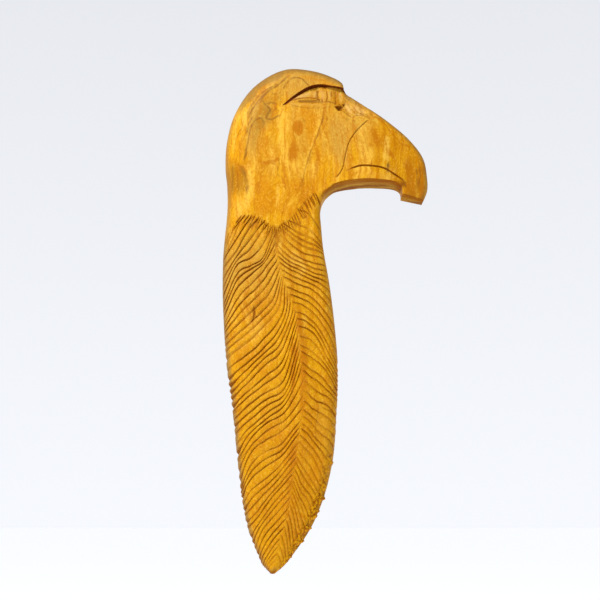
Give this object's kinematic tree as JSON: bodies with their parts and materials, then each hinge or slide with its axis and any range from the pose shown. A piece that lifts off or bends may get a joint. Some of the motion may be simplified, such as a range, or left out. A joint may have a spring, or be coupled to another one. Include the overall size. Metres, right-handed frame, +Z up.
{
  "type": "carved eagle head",
  "caption": "Flat-backed wooden wall carving of an eagle's head in profile, with a hooked beak over one long feather.",
  "frame": {"origin": "on the flat back, behind the cheek", "axes": "+X along the beak, +Z up from the feather's tip to the crown, the carved face looks toward -Y and the flat back toward +Y"},
  "size_m": [0.3128, 0.06, 0.7633],
  "materials": {
    "oiled_softwood": "oiled or thinly varnished softwood, satin, with darker cuts and end grain"
  },
  "bodies": {
    "root": {"carved_eagle_head": "oiled_softwood"}
  },
  "joints": []
}
